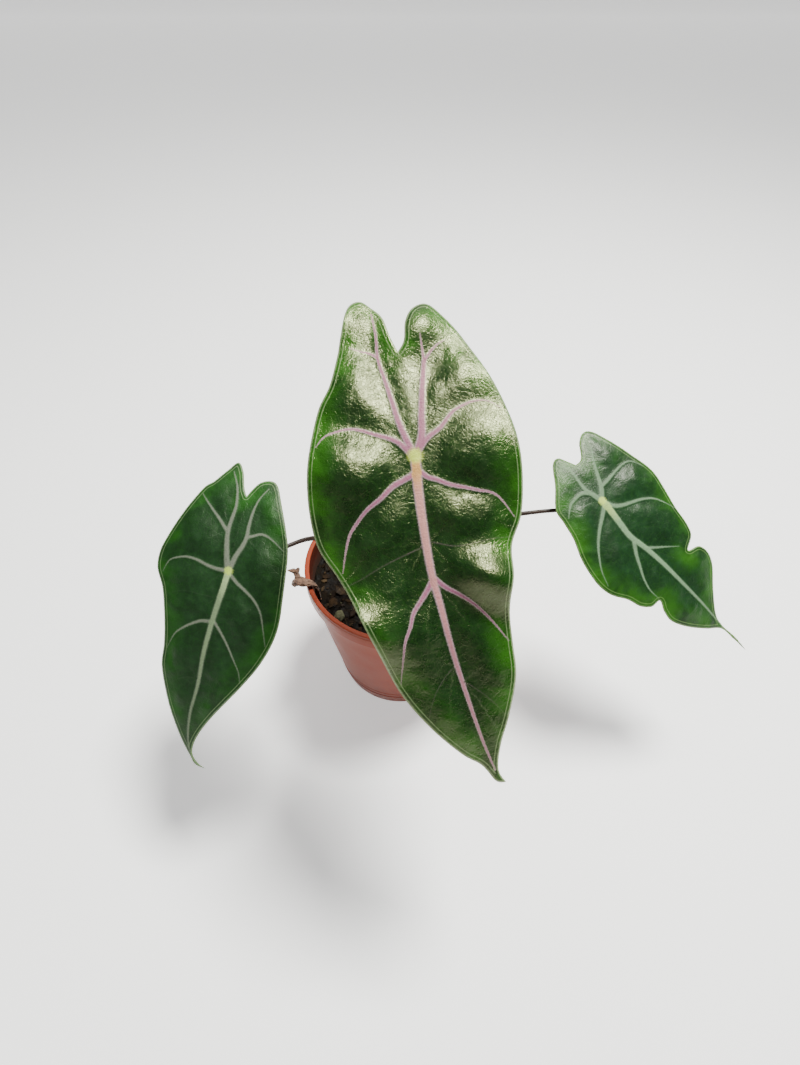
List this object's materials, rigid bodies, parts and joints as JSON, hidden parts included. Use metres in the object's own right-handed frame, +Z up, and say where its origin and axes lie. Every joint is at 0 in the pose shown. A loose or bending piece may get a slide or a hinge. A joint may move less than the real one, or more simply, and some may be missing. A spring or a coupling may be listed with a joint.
{
  "type": "potted alocasia suhirmaniana",
  "caption": "Young jewel alocasia with heart-shaped, deeply veined leaves on long stalks, standing in bark mix in a tapered terracotta-coloured plastic nursery pot with a collar.",
  "frame": {"origin": "centre of the pot's flat base, on the surface that it stands on", "axes": "+Z up along the pot's axis, -Y towards the side that the leaves face, +X to the viewer's right"},
  "size_m": [0.3307, 0.2111, 0.2757],
  "materials": {
    "pot_plastic": "terracotta-coloured thin moulded plastic, satin, lighter on the rim",
    "potting_mix": "moist bark chips and coir, dark brown",
    "crown_skin": "corky short stem with leaf scars",
    "dry_leaf": "dried, papery and crumpled leaf tissue",
    "petiole_skin": "smooth dark brown leaf stalk, satin",
    "front_blade": "dark green velvety-satin leaf with mauve-pink veins and a wine-red underside",
    "left_blade": "dark green satin leaf with grey-green veins and a wine-red underside",
    "right_blade": "mid to dark green satin leaf with mint-coloured veins and a wine-red underside"
  },
  "bodies": {
    "root": {"pot": "pot_plastic", "soil": "potting_mix", "crown": "crown_skin", "dry_sheath": "dry_leaf", "withered_leaf": "dry_leaf", "petiole_front": "petiole_skin", "petiole_left": "petiole_skin", "petiole_right": "petiole_skin", "blade_front": "front_blade", "blade_left": "left_blade", "blade_right": "right_blade"}
  },
  "joints": []
}
